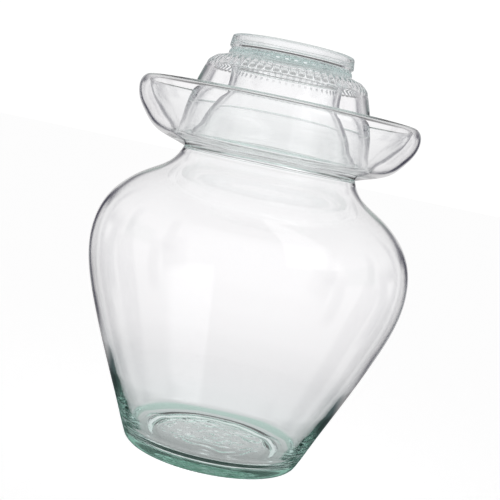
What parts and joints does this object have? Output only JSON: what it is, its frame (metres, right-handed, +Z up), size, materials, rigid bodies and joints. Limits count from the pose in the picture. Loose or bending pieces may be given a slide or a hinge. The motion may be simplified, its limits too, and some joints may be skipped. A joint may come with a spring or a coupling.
{
  "type": "fermentation jar with water airlock",
  "caption": "Glass pickling jar with a hollow water moat round its neck and an inverted glass bowl standing in the moat as the lid.",
  "frame": {"origin": "centre of the base, on the plane the jar stands on", "axes": "+Z up along the jar's axis; the jar is round, so X and Y are any two level directions"},
  "size_m": [0.2212, 0.2212, 0.2866],
  "materials": {
    "jar_glass": "clear blown glass, faint green in thick places",
    "lid_glass": "clear pressed glass, pale green in the thick bottom"
  },
  "bodies": {
    "jar": {"jar_body": "jar_glass"},
    "lid": {"bowl_lid": "lid_glass"}
  },
  "joints": [
    {"name": "lid_lift", "type": "slide", "parent": "jar", "child": "lid", "axis": [0, 0, 1], "range_m": [0, 0.08]}
  ]
}
